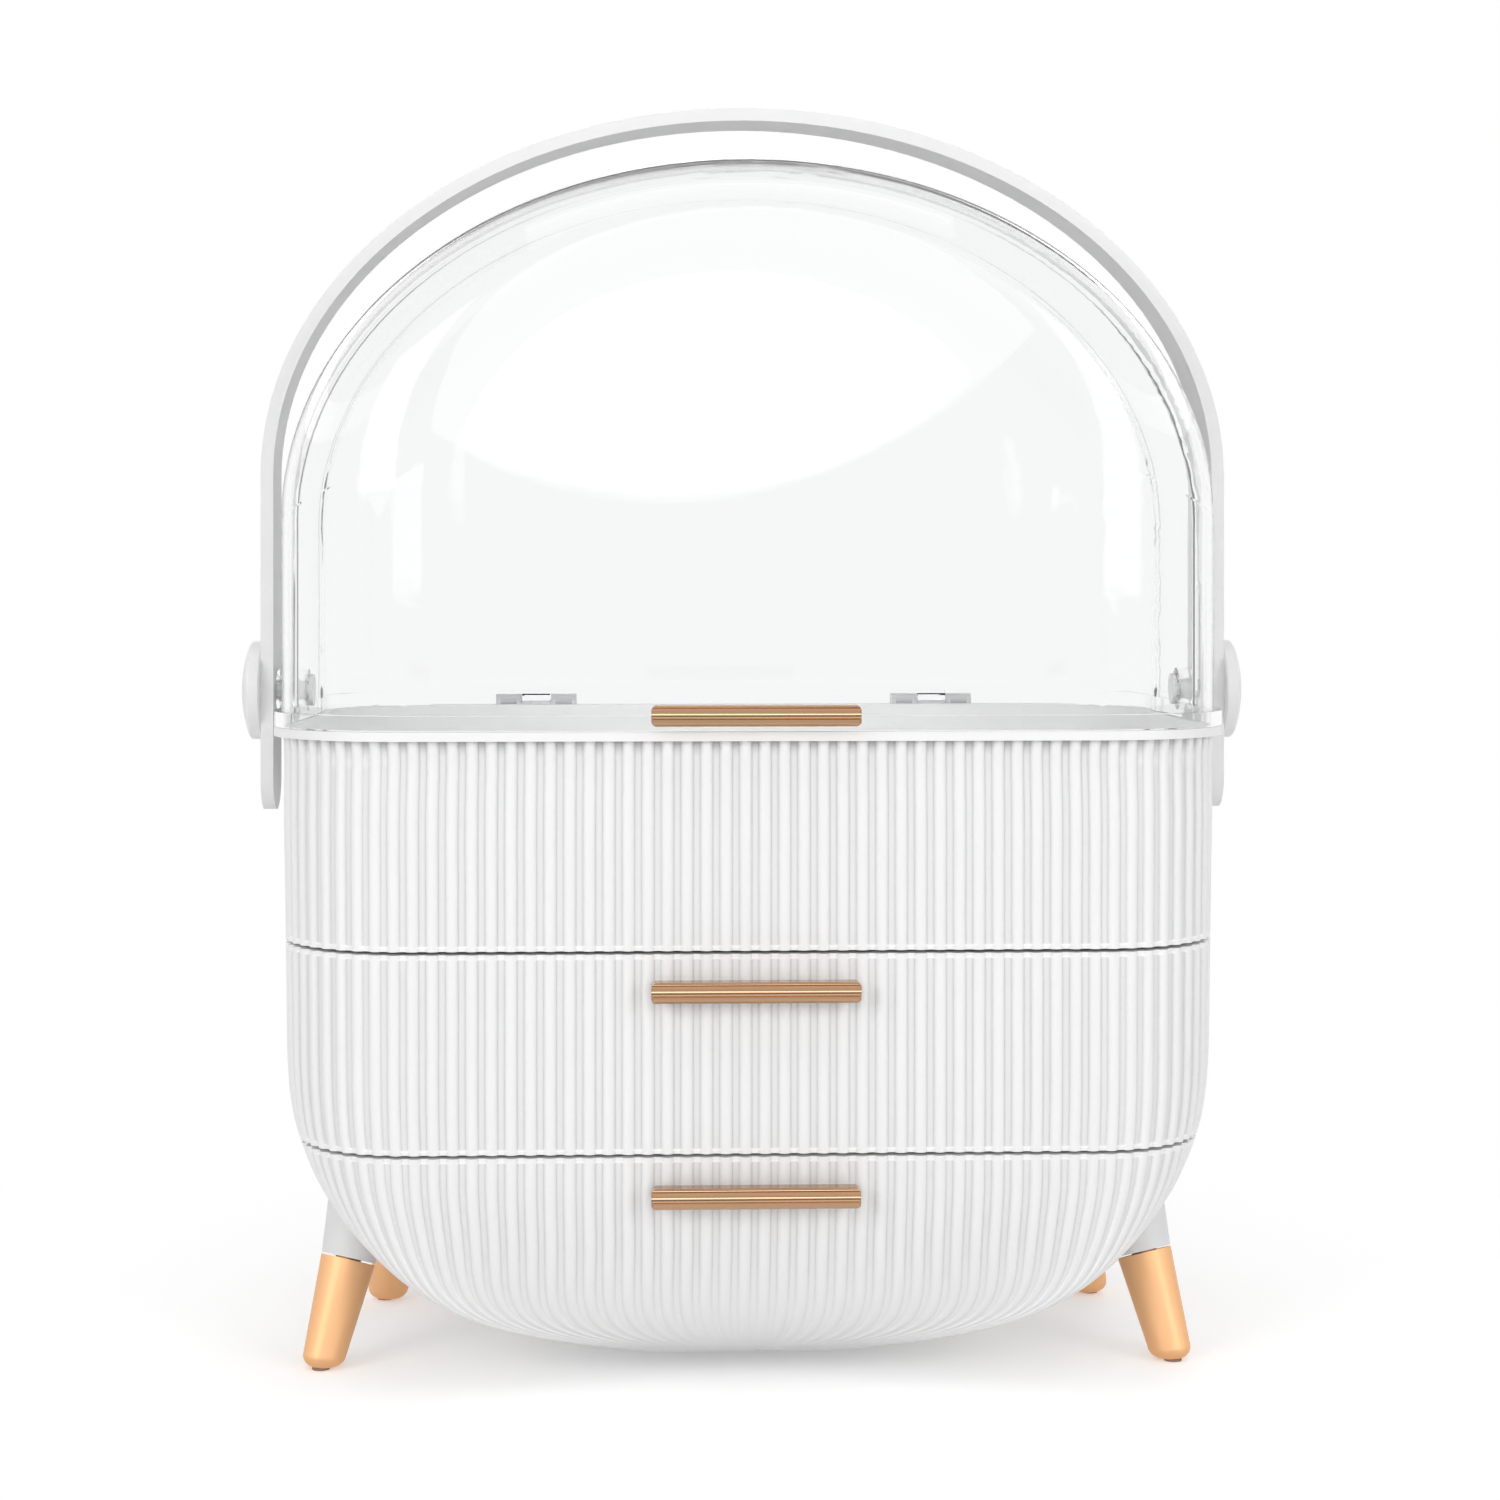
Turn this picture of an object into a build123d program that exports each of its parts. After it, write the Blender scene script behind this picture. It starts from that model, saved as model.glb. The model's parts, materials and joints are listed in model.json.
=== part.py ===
"""Makeup organizer: a reeded egg-shaped cabinet on four legs, with two drawers, an open bin,
a clear domed lid hinged at the back and an arched handle that turns on the lid's sides.

Millimetres. The floor is Z = 0, the front faces -Y and the origin is under the middle.
"""

import os
from math import cos, hypot, pi, radians, sin, sqrt, tan

from build123d import *

os.makedirs("parts", exist_ok=True)

# Body plan and wall
BODY_HALF_WIDTH = 141.0
BODY_HALF_DEPTH = 88.0
BODY_CORNER = 40.0
BODY_WALL = 3.3
SIDE_DRAFT = 0.014

# Heights, each one standing on the one before
BOWL_BOTTOM = 6.5
LOW_DRAWER_HEIGHT = 67.3
MID_DRAWER_HEIGHT = 59.6
BIN_HEIGHT = 61.6
RIM_HEIGHT = 2.7
LOWER_SEAM = BOWL_BOTTOM + LOW_DRAWER_HEIGHT
UPPER_SEAM = LOWER_SEAM + MID_DRAWER_HEIGHT
RIM_UNDERSIDE = UPPER_SEAM + BIN_HEIGHT
RIM_TOP = RIM_UNDERSIDE + RIM_HEIGHT

# Bowl curve: sides draw in below BOWL_TOP, front and back below TOE_TOP
BOWL_ROUNDNESS = 2.3
BOWL_TOP = LOWER_SEAM + 0.485 * MID_DRAWER_HEIGHT
BOWL_DROP = BOWL_TOP - BOWL_BOTTOM + 1.5
TOE_DEPTH = 45.0
TOE_TOP = LOWER_SEAM + 0.196 * MID_DRAWER_HEIGHT
TOE_DROP = TOE_TOP - BOWL_BOTTOM + 1.5

# Reeds around the body
RIB_PITCH = 5.72
RIB_DEPTH = 1.2
RIB_SHARE = 0.68
RIB_FADE_HEIGHT = 40.0
REED_UPRIGHTNESS = 6.0
REED_RUNOUT = 20.0

# Drawers
SEAM_GAP = 1.0
SEAT_GAP = 0.1
PARTING_SETBACK = 41.0
PARTING = BODY_HALF_DEPTH - PARTING_SETBACK
PLATE = 2.5
TRAY_WALL = 2.0
SLIDE_CLEARANCE = 0.4
TRAY_SIDE_ROOM = 12.0
MID_TRAY_FRONT = BODY_HALF_DEPTH - 10.0
MID_TRAY_BACK = BODY_HALF_DEPTH - 16.0
MID_TRAY_HALF_WIDTH = BODY_HALF_WIDTH - BODY_WALL - TRAY_SIDE_ROOM
MID_TRAY_FRONT_CORNER = 34.0
MID_TRAY_BACK_CORNER = 16.0
LOW_TRAY_FRONT = BODY_HALF_DEPTH - 24.0
LOW_TRAY_BACK = BODY_HALF_DEPTH - TOE_DEPTH
LOW_TRAY_FLOOR = BOWL_BOTTOM + 14.0
LOW_TRAY_CORNER = 20.0

# Pulls and screws
PULL_LENGTH = 61.2
PULL_HEIGHT = 6.2
PULL_DEPTH = 6.0
PULL_STANDOFF = 3.0
PULL_END_RADIUS = 1.8
PULL_POST_RADIUS = 2.6
PULL_SCREW_SPACING = 40.0
MID_PULL_BELOW_SEAM = 11.2
LOW_PULL_BELOW_SEAM = 11.8
SCREW_RADIUS = 1.4
SCREW_HOLE = 1.5
SCREW_HEAD_RADIUS = 2.7
SCREW_HEAD_HEIGHT = 1.6
BOSS_RADIUS = 4.2

# Bin, rim and hinge
BIN_FLOOR = 2.6
RIM_OVERHANG = 2.7
HINGE_OFFSET = 70.0
KNUCKLE_RADIUS = 3.5
KNUCKLE_GAP = 0.3
KNUCKLE_HALF = 4.9
KNUCKLE_LENGTH = 9.0
HINGE_REACH = 0.5
PIN_RADIUS = 1.5
PRESS_CLEARANCE = 0.02
RUN_CLEARANCE = 0.06

# Lid
LID_SEAT_GAP = 0.2
LID_FLANGE = 4.5
LID_WALL = 2.2
LID_HEIGHT = 174.7
LID_SPRING = 0.35 * LID_HEIGHT
LID_CORNER_WIDTH = 48.0
LID_CORNER_DEPTH = 42.0
LID_CROWN_DROP = 22.0
LID_CROWN_DEPTH = 58.0
LID_SPRING_RISE = 23.0

# Handle
PIVOT_HEIGHT = 8.8
HANDLE_SIDE_GAP = 5.0
HANDLE_THICKNESS = 4.0
HANDLE_WIDTH = 22.0
HANDLE_SWEEP_GAP = 7.4
HANDLE_SPRING = 68.5
HANDLE_TAIL = 38.2
STUD_RADIUS = 3.0
STUD_HEAD_RADIUS = 5.0
STUD_HEAD = 1.5
LID_BOSS_RADIUS = 6.8
CAP_RADIUS = 15.8
CAP_EDGE = 4.0
CAP_DOME = 7.0
CAP_RECESS_RADIUS = 6.5
CAP_RECESS = 4.0

# Legs
FRONT_FOOT_INSET = 9.5
REAR_FOOT_INSET = 22.0
FOOT_FROM_PARTING = 4.0
LEG_LEAN_X = tan(radians(13.4))
LEG_LEAN_Y = tan(radians(14.6))
FRONT_TIP_LENGTH = 33.5
REAR_TIP_LENGTH = 27.0
TIP_ROUNDING = 3.4
TIP_TOP_RADIUS = 8.5
TIP_BOTTOM_RADIUS = 6.2
SLEEVE_TAPER = 0.13
TIP_JOINT_GAP = 0.5
SPIGOT_RADIUS = 4.0
SPIGOT_LENGTH = 8.0
PLUG_RADIUS = 6.0
LEG_SCREW_RADIUS = 2.0
LEG_SCREW_HEAD = 7.5
LEG_SCREW_HEAD_HEIGHT = 2.0
PAD_RADIUS = 2.7
PAD_THICKNESS = 0.8

# Sizes that follow from the ones above
REACH = 2.0 * (BODY_HALF_WIDTH + BODY_HALF_DEPTH)
FLOOR_ALIGN = (Align.CENTER, Align.CENTER, Align.MIN)
RIM_HALF_WIDTH = BODY_HALF_WIDTH + SIDE_DRAFT * (RIM_UNDERSIDE - BOWL_TOP) + RIM_OVERHANG
RIM_HALF_DEPTH = BODY_HALF_DEPTH + RIM_OVERHANG
HINGE_Y = RIM_HALF_DEPTH + KNUCKLE_RADIUS + HINGE_REACH
LID_BASE = RIM_TOP + LID_SEAT_GAP
LID_TOP = RIM_TOP + LID_HEIGHT
LID_HALF_WIDTH = RIM_HALF_WIDTH - 2.0
LID_HALF_DEPTH = BODY_HALF_DEPTH
PIVOT_Z = RIM_TOP + PIVOT_HEIGHT
HANDLE_INSIDE = RIM_HALF_WIDTH + HANDLE_SIDE_GAP
HANDLE_OUTSIDE = HANDLE_INSIDE + HANDLE_THICKNESS
MID_FRONT_TOP = UPPER_SEAM - SEAM_GAP
LOW_FRONT_TOP = LOWER_SEAM - SEAM_GAP
MID_TRAY_FLOOR = LOWER_SEAM + PLATE + SLIDE_CLEARANCE
MID_TRAY_TOP = MID_FRONT_TOP - PLATE - SLIDE_CLEARANCE
LOW_TRAY_TOP = LOW_FRONT_TOP - PLATE - SLIDE_CLEARANCE
MID_PULL_Z = UPPER_SEAM - MID_PULL_BELOW_SEAM
LOW_PULL_Z = LOWER_SEAM - LOW_PULL_BELOW_SEAM
LID_PULL_Z = RIM_TOP + 0.4 * LID_FLANGE + 0.5 * PULL_HEIGHT


def block(x_range, y_range, z_range):
    """A box between two limits on each axis."""
    size = [high - low for low, high in (x_range, y_range, z_range)]
    middle = [0.5 * (high + low) for low, high in (x_range, y_range, z_range)]
    return Pos(*middle) * Box(*size)


def slab(low, high):
    """Everything between two heights."""
    return block((-REACH, REACH), (-REACH, REACH), (low, high))


def rod(start, end, radius):
    """A round bar from one point to another."""
    along = Vector(*end) - Vector(*start)
    frame = Plane(origin=start, z_dir=along)
    return frame * Cylinder(radius, along.length, align=FLOOR_ALIGN)


def both_sides(shape):
    """A shape at +X together with its mirror image at -X."""
    return [shape, mirror(shape, Plane.YZ)]


def half_width_at(z, inset=0.0):
    """Half the body's width at a height, inset from the outside."""
    if z >= BOWL_TOP:
        return BODY_HALF_WIDTH - inset + SIDE_DRAFT * (z - BOWL_TOP)
    below = (BOWL_TOP - z) / (BOWL_DROP - inset)
    share = (1.0 - below**BOWL_ROUNDNESS) ** (1.0 / BOWL_ROUNDNESS)
    return (BODY_HALF_WIDTH - inset) * share


def half_depth_at(z, inset=0.0):
    """Half the body's depth at a height, inset from the outside."""
    if z >= TOE_TOP:
        return BODY_HALF_DEPTH - inset
    below = (TOE_TOP - z) / (TOE_DROP - inset)
    return BODY_HALF_DEPTH - TOE_DEPTH + (TOE_DEPTH - inset) * sqrt(1.0 - below**2)


def levels(bottom, top):
    """Heights of the loft sections, closer together where the bowl turns under."""
    shares = (0.0, 0.025, 0.065, 0.13, 0.22, 0.35, 0.5, 0.67, 0.84, 1.0)
    low_end = min(bottom, BOWL_TOP)
    found = [low_end + share * (BOWL_TOP - low_end) for share in shares]
    found += [BOWL_TOP + share * (top - BOWL_TOP) for share in (0.14, 0.32, 0.54, 0.77, 1.0)]
    return [z for z in found if bottom <= z <= top] if bottom < BOWL_TOP else [bottom, top]


def plan_points():
    """Three points on each reed around the plan: its start, crest and end."""
    flat_x = 2.0 * (BODY_HALF_WIDTH - BODY_CORNER)
    flat_y = 2.0 * (BODY_HALF_DEPTH - BODY_CORNER)
    arc = 0.5 * pi * BODY_CORNER
    lengths = (0.5 * flat_x, arc, flat_y, arc, flat_x, arc, flat_y, arc, 0.5 * flat_x)
    perimeter = sum(lengths)
    centre_x = BODY_HALF_WIDTH - BODY_CORNER
    centre_y = BODY_HALF_DEPTH - BODY_CORNER
    corners = ((1, -1), (1, 1), (-1, 1), (-1, -1))
    count = 2 * round(perimeter / RIB_PITCH / 2.0)
    shares = (0.5 - 0.5 * RIB_SHARE, 0.5, 0.5 + 0.5 * RIB_SHARE)
    found = []
    for step in range(3 * count):
        along = (step // 3 + shares[step % 3]) * perimeter / count
        piece = 0
        while along > lengths[piece]:
            along -= lengths[piece]
            piece += 1
        turns = (piece + 1) // 2
        angle = (turns - 1) * 0.5 * pi
        if piece % 2:
            angle += along / BODY_CORNER - 0.5 * pi
            sign_x, sign_y = corners[piece // 2]
            x = sign_x * centre_x + BODY_CORNER * cos(angle)
            y = sign_y * centre_y + BODY_CORNER * sin(angle)
        else:
            side = (piece // 2) % 4
            start = {0: 0.0, 2: -centre_y, 4: centre_x, 6: centre_y, 8: -centre_x}[piece]
            x = (start + along, BODY_HALF_WIDTH, start - along, -BODY_HALF_WIDTH)[side]
            y = (-BODY_HALF_DEPTH, start + along, BODY_HALF_DEPTH, start - along)[side]
        found.append((x, y))
    return found


def drawn_in(x, z, inset=0.0):
    """How far out a point of the plan is at a height: near the middle it stays upright, and further
    out it is drawn in with the bowl, until all the reeds run together at the bottom."""
    widest = BODY_HALF_WIDTH - inset
    width = half_width_at(z, inset)
    even = x * width / widest
    crowding = (abs(x) / widest) ** REED_UPRIGHTNESS * ((widest / width) ** REED_UPRIGHTNESS - 1.0)
    upright = x / (1.0 + crowding) ** (1.0 / REED_UPRIGHTNESS)
    run_together = max(0.0, 1.0 - (z - BOWL_BOTTOM) / REED_RUNOUT) ** 2
    return upright + run_together * (even - upright)


def ribbed_section(z, points):
    """The reeded outline at one height: an arc over each reed and a flat groove beside it."""
    scale_y = half_depth_at(z) / BODY_HALF_DEPTH
    full_depth = RIB_DEPTH * min(1.0, 0.1 + (z - BOWL_BOTTOM) / RIB_FADE_HEIGHT)
    crests = [Vector(drawn_in(x, z), y * scale_y, z) for x, y in points]
    edges = []
    sunk = []
    for index in range(0, len(crests), 3):
        start, crest, end = crests[index : index + 3]
        along = end - start
        depth = full_depth * min(1.0, along.length / (RIB_SHARE * RIB_PITCH))
        inward = Vector(-along.Y, along.X, 0).normalized() * depth
        sunk.append((start + inward, crest, end + inward))
    for index, (start, crest, end) in enumerate(sunk):
        edges.append(ThreePointArc(start, crest, end))
        edges.append(Line(end, sunk[(index + 1) % len(sunk)][0]))
    return Face(Wire(edges))


def plain_section(z, inset):
    """The smooth outline at one height, inset from the reed crests."""
    scale_y = half_depth_at(z, inset) / (BODY_HALF_DEPTH - inset)
    corner = BODY_CORNER - inset
    quarter = []
    for step in range(5):
        turn = 0.125 * pi * step
        x = drawn_in(BODY_HALF_WIDTH - BODY_CORNER + corner * sin(turn), z, inset)
        quarter.append((x, scale_y * (BODY_HALF_DEPTH - BODY_CORNER + corner * cos(turn))))
    edges = []
    for sign_x, sign_y in ((1, -1), (1, 1), (-1, 1), (-1, -1)):
        bend = [Vector(sign_x * x, sign_y * y, z) for x, y in quarter]
        if sign_x * sign_y > 0:
            bend.reverse()
        if edges:
            edges.append(Line(edges[-1] @ 1, bend[0]))
        edges += [ThreePointArc(*bend[:3]), ThreePointArc(*bend[2:])]
    edges.append(Line(edges[-1] @ 1, edges[0] @ 0))
    return Face(Wire(edges))


def plain_form(bottom, top, inset):
    """The smooth body between two heights, inset from the reed crests."""
    return loft([plain_section(z, inset) for z in levels(bottom, top)])


def rim_plate(bottom, top):
    """A flat plate with the rim's rounded outline."""
    outline = RectangleRounded(
        2 * RIM_HALF_WIDTH, 2 * RIM_HALF_DEPTH, BODY_CORNER + RIM_OVERHANG
    )
    return Pos(0, 0, bottom) * extrude(outline, top - bottom)


def screw(seat, tip):
    """A round-headed screw: its head stands on the seat, away from the tip."""
    inward = (Vector(*seat) - Vector(*tip)).normalized()
    head_end = Vector(*seat) + inward * SCREW_HEAD_HEIGHT
    head = rod(seat, tuple(head_end), SCREW_HEAD_RADIUS)
    return head + rod(tip, tuple(Vector(*seat) + inward * 0.5), SCREW_RADIUS)


def mid_tray_form(inset, floor, top):
    """The middle tray's outline between two heights, inset from its outside."""
    half_width = MID_TRAY_HALF_WIDTH - inset
    front = -MID_TRAY_FRONT + inset
    back = MID_TRAY_BACK - inset
    plan = Pos(0, 0.5 * (front + back)) * Rectangle(2 * half_width, back - front)
    plan = fillet(plan.vertices().group_by(Axis.Y)[0], MID_TRAY_FRONT_CORNER - inset)
    plan = fillet(plan.vertices().group_by(Axis.Y)[-1], MID_TRAY_BACK_CORNER - inset)
    return Pos(0, 0, floor) * extrude(plan, top - floor)


LOW_TRAY_FLOOR_HALF = half_width_at(LOW_TRAY_FLOOR, BODY_WALL) - 8.0
LOW_TRAY_TOP_HALF = half_width_at(LOW_TRAY_TOP, BODY_WALL) - 14.0


def low_tray_form(inset, floor, top):
    """The bottom tray's outline between two heights: sides flare upward, ends are upright."""
    flare = (LOW_TRAY_TOP_HALF - LOW_TRAY_FLOOR_HALF) / (LOW_TRAY_TOP - LOW_TRAY_FLOOR)
    lean = hypot(1.0, flare)
    low_half = LOW_TRAY_FLOOR_HALF + flare * (floor - LOW_TRAY_FLOOR) - inset * lean
    top_half = LOW_TRAY_FLOOR_HALF + flare * (top - LOW_TRAY_FLOOR) - inset * lean
    front = LOW_TRAY_FRONT - inset
    back = LOW_TRAY_BACK - inset
    outline = Polygon(
        (-low_half, floor), (low_half, floor), (top_half, top), (-top_half, top), align=None
    )
    face = Plane(origin=(0, back, 0), x_dir=(1, 0, 0), z_dir=(0, -1, 0)) * outline
    form = extrude(face, front + back, dir=(0, -1, 0))
    slanted = [e for e in form.edges() if abs(e.tangent_at(0.5).Z) > 0.2]
    front_edges = [e for e in slanted if e.center().Y < 0]
    return fillet(front_edges, LOW_TRAY_CORNER - inset)


def drawer_front(skin, tray_inside, tray_front, bottom, top, pull_z):
    """A reeded drawer front: its skin, the plate over the tray's edge and two screw bosses."""
    front_space = block((-REACH, REACH), (-REACH, -PARTING), (bottom, top))
    top_plate = inside & block((-REACH, REACH), (-REACH, -PARTING), (top - PLATE, top))
    front = (skin & front_space) - inside + (top_plate - tray_inside)
    wall = -half_depth_at(pull_z) + 0.5 * BODY_WALL
    spots = (-0.5 * PULL_SCREW_SPACING, 0.5 * PULL_SCREW_SPACING)
    bosses = [rod((x, wall, pull_z), (x, -tray_front, pull_z), BOSS_RADIUS) for x in spots]
    holes = [rod((x, -REACH, pull_z), (x, 0, pull_z), SCREW_HOLE) for x in spots]
    return front + bosses - holes


def pull_bar(back, z):
    """The pull's bar: a rounded top lip, a shallow cove and a lower lip, with its back at Y = back."""
    half = 0.5 * PULL_HEIGHT
    profile = [
        Line((0, -half), (0.75 * PULL_DEPTH, -half)),
        ThreePointArc(
            (0.75 * PULL_DEPTH, -half),
            (0.94 * PULL_DEPTH, -0.72 * half),
            (PULL_DEPTH, -0.34 * half),
        ),
        ThreePointArc(
            (PULL_DEPTH, -0.34 * half),
            (0.8 * PULL_DEPTH, 0.2 * half),
            (0.93 * PULL_DEPTH, 0.78 * half),
        ),
        ThreePointArc(
            (0.93 * PULL_DEPTH, 0.78 * half), (0.88 * PULL_DEPTH, 0.94 * half), (0.8 * PULL_DEPTH, half)
        ),
        Line((0.8 * PULL_DEPTH, half), (0, half)),
        Line((0, half), (0, -half)),
    ]
    end = Plane(origin=(-PULL_LENGTH, back, z), x_dir=(0, -1, 0), z_dir=(-1, 0, 0))
    bar = extrude(end * Face(Wire(profile)), 2 * PULL_LENGTH, dir=(1, 0, 0))
    plan = Pos(0, back) * Rectangle(PULL_LENGTH, 2.1 * PULL_DEPTH)
    plan = fillet(plan.vertices().group_by(Axis.Y)[0], PULL_END_RADIUS)
    bar &= Pos(0, 0, z - PULL_HEIGHT) * extrude(plan, 2 * PULL_HEIGHT)
    front = Plane(origin=(0, back + 1.0, z), x_dir=(1, 0, 0), z_dir=(0, -1, 0))
    outline = front * RectangleRounded(PULL_LENGTH, 1.01 * PULL_HEIGHT, PULL_END_RADIUS)
    return bar & extrude(outline, 2 * PULL_DEPTH)


def drawer_pull(z):
    """A drawer pull: the bar on two posts that stand on the crests of the reeds."""
    back = -half_depth_at(z) - PULL_STANDOFF
    spots = (-0.5 * PULL_SCREW_SPACING, 0.5 * PULL_SCREW_SPACING)
    post_end = -half_depth_at(z + PULL_POST_RADIUS) - SEAT_GAP
    posts = [rod((x, back - 1.0, z), (x, post_end, z), PULL_POST_RADIUS) for x in spots]
    holes = [rod((x, back - 0.6 * PULL_DEPTH, z), (x, 0, z), SCREW_HOLE) for x in spots]
    return pull_bar(back, z) + posts - holes


def drawer_pull_screws(z, seat):
    """Two screws from inside the tray, through the front and into the pull."""
    tip = -half_depth_at(z) - PULL_STANDOFF - 0.5 * PULL_DEPTH
    spots = (-0.5 * PULL_SCREW_SPACING, 0.5 * PULL_SCREW_SPACING)
    return [screw((x, seat, z), (x, tip, z)) for x in spots]


def knuckle(middle, half, web_low, web_high):
    """A hinge barrel on the hinge line, with the web that joins it to the edge in front."""
    x_range = (middle - half, middle + half)
    barrel = rod((x_range[0], HINGE_Y, RIM_TOP), (x_range[1], HINGE_Y, RIM_TOP), KNUCKLE_RADIUS)
    return barrel + block(x_range, (BODY_HALF_DEPTH, HINGE_Y), (web_low, web_high))


def lid_section(y, inset):
    """The lid's arch at one depth: upright sides and a half ellipse over them."""
    past_side = max(0.0, abs(y) - (LID_HALF_DEPTH - LID_CORNER_DEPTH))
    past_crown = max(0.0, abs(y) - (LID_HALF_DEPTH - LID_CROWN_DEPTH))
    side_turn = 1.0 - sqrt(max(0.0, 1.0 - (past_side / (LID_CORNER_DEPTH - inset)) ** 2))
    crown_turn = 1.0 - sqrt(max(0.0, 1.0 - (past_crown / (LID_CROWN_DEPTH - inset)) ** 2))
    width = LID_HALF_WIDTH - inset - (LID_CORNER_WIDTH - inset) * side_turn
    top = LID_TOP - inset - (LID_CROWN_DROP - inset) * crown_turn
    spring = LID_BASE + LID_SPRING + LID_SPRING_RISE * crown_turn
    return width, top, spring


def lid_face(y, inset, base):
    """A face with the lid's arch outline, standing at one depth."""
    width, top, spring = lid_section(y, inset)
    upright = Plane(origin=(0, y, 0), x_dir=(1, 0, 0), z_dir=(0, -1, 0))
    edges = [
        Line((-width, base), (width, base)),
        Line((width, base), (width, spring)),
        EllipticalCenterArc((0, spring), width, top - spring, 0, arc_size=90),
        EllipticalCenterArc((0, spring), width, top - spring, 90, arc_size=90),
        Line((-width, spring), (-width, base)),
    ]
    return upright * Face(Wire(edges))


def lid_form(inset, base):
    """The lid's dome as a solid: a straight middle and two rounded ends."""
    straight = LID_HALF_DEPTH - LID_CROWN_DEPTH
    turns = (0, 12, 24, 36, 48, 58, 67, 75, 82, 87, 90)
    depths = [straight + (LID_CROWN_DEPTH - inset) * sin(radians(turn)) for turn in turns]
    back = loft([lid_face(y, inset, base) for y in depths])
    front = mirror(back, Plane.XZ)
    middle = extrude(lid_face(straight, inset, base), 2 * straight, dir=(0, -1, 0))
    return front + middle + back


def arch(half_width, spring, top, bottom):
    """A tall arch as a flat face: straight legs under a half ellipse."""
    edges = [
        Line((-half_width, bottom), (half_width, bottom)),
        Line((half_width, bottom), (half_width, spring)),
        EllipticalCenterArc((0, spring), half_width, top - spring, 0, arc_size=90),
        EllipticalCenterArc((0, spring), half_width, top - spring, 90, arc_size=90),
        Line((-half_width, spring), (-half_width, bottom)),
    ]
    return Plane(origin=(0, 0, 0), x_dir=(1, 0, 0), z_dir=(0, -1, 0)) * Face(Wire(edges))


def leg_hit(foot, lean):
    """How far up a leg's axis meets the side of the bowl."""
    low, high = 0.0, BOWL_TOP
    for _ in range(40):
        z = 0.5 * (low + high)
        if abs(foot[0] + lean[0] * z) > half_width_at(max(z, BOWL_BOTTOM)):
            low = z
        else:
            high = z
    return low * hypot(1.0, lean[0], lean[1])


def leg_point(foot, lean, along):
    """The point on a leg's axis at a distance from the foot."""
    scale = along / hypot(1.0, lean[0], lean[1])
    return (foot[0] + lean[0] * scale, foot[1] + lean[1] * scale, scale)


def leg_pieces(foot, lean, tip_length):
    """One leg: its sleeve, plated tip, pad and screw, and the hole that it needs in the shell."""
    frame = Plane(origin=(foot[0], foot[1], 0), z_dir=(lean[0], lean[1], 1.0))
    slope = (TIP_TOP_RADIUS - TIP_BOTTOM_RADIUS) / tip_length
    hit = leg_hit(foot, lean)
    plug_end = hit + 1.3 * BODY_WALL + 0.7 * PLUG_RADIUS + 2.0
    sleeve_start = tip_length + TIP_JOINT_GAP
    sleeve_length = hit + 12.0 - sleeve_start

    tip = frame * Pos(0, 0, -5) * Cone(
        TIP_BOTTOM_RADIUS - 5 * slope, TIP_TOP_RADIUS, tip_length + 5, align=FLOOR_ALIGN
    )
    tip -= slab(-REACH, PAD_THICKNESS)
    tip = fillet(tip.edges().group_by(Axis.Z)[0], TIP_ROUNDING)
    tip += rod(
        leg_point(foot, lean, tip_length - 1.0),
        leg_point(foot, lean, tip_length + SPIGOT_LENGTH),
        SPIGOT_RADIUS,
    )

    sleeve = frame * Pos(0, 0, sleeve_start) * Cone(
        TIP_TOP_RADIUS, TIP_TOP_RADIUS + SLEEVE_TAPER * sleeve_length, sleeve_length, align=FLOOR_ALIGN
    )
    plug_start = leg_point(foot, lean, sleeve_start + 0.3 * SPIGOT_LENGTH)
    plug_top = leg_point(foot, lean, plug_end)
    sleeve = (sleeve - around_reeds) + rod(plug_start, plug_top, PLUG_RADIUS)
    socket_end = leg_point(foot, lean, tip_length + SPIGOT_LENGTH + 0.5)
    sleeve -= rod(leg_point(foot, lean, 0), socket_end, SPIGOT_RADIUS + PRESS_CLEARANCE)
    screw_tip = leg_point(foot, lean, plug_end - 9.0)
    sleeve -= rod(screw_tip, leg_point(foot, lean, plug_end + 1.0), LEG_SCREW_RADIUS + PRESS_CLEARANCE)

    screw_shank = rod(screw_tip, leg_point(foot, lean, plug_end + 0.5), LEG_SCREW_RADIUS)
    screw_head = rod(
        plug_top, leg_point(foot, lean, plug_end + LEG_SCREW_HEAD_HEIGHT), LEG_SCREW_HEAD
    )
    pad = Pos(foot[0], foot[1], 0) * Cylinder(PAD_RADIUS, PAD_THICKNESS, align=FLOOR_ALIGN)
    hole_end = leg_point(foot, lean, plug_end + LEG_SCREW_HEAD_HEIGHT + 3.0)
    hole = rod(leg_point(foot, lean, 0.5 * tip_length), hole_end, PLUG_RADIUS + SEAT_GAP)
    hole += rod(leg_point(foot, lean, plug_end - SEAT_GAP), hole_end, LEG_SCREW_HEAD + SEAT_GAP)
    return sleeve, tip, pad, screw_head + screw_shank, hole


nodes = {}

# The reeded outside of the whole body, and the smooth space inside its wall
rib_points = plan_points()
body_form = loft([ribbed_section(z, rib_points) for z in levels(BOWL_BOTTOM, RIM_UNDERSIDE)])
inside = plain_form(BOWL_BOTTOM + BODY_WALL, RIM_UNDERSIDE, BODY_WALL)
around_reeds = plain_form(BOWL_BOTTOM - SEAT_GAP, RIM_UNDERSIDE, -SEAT_GAP)

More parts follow.
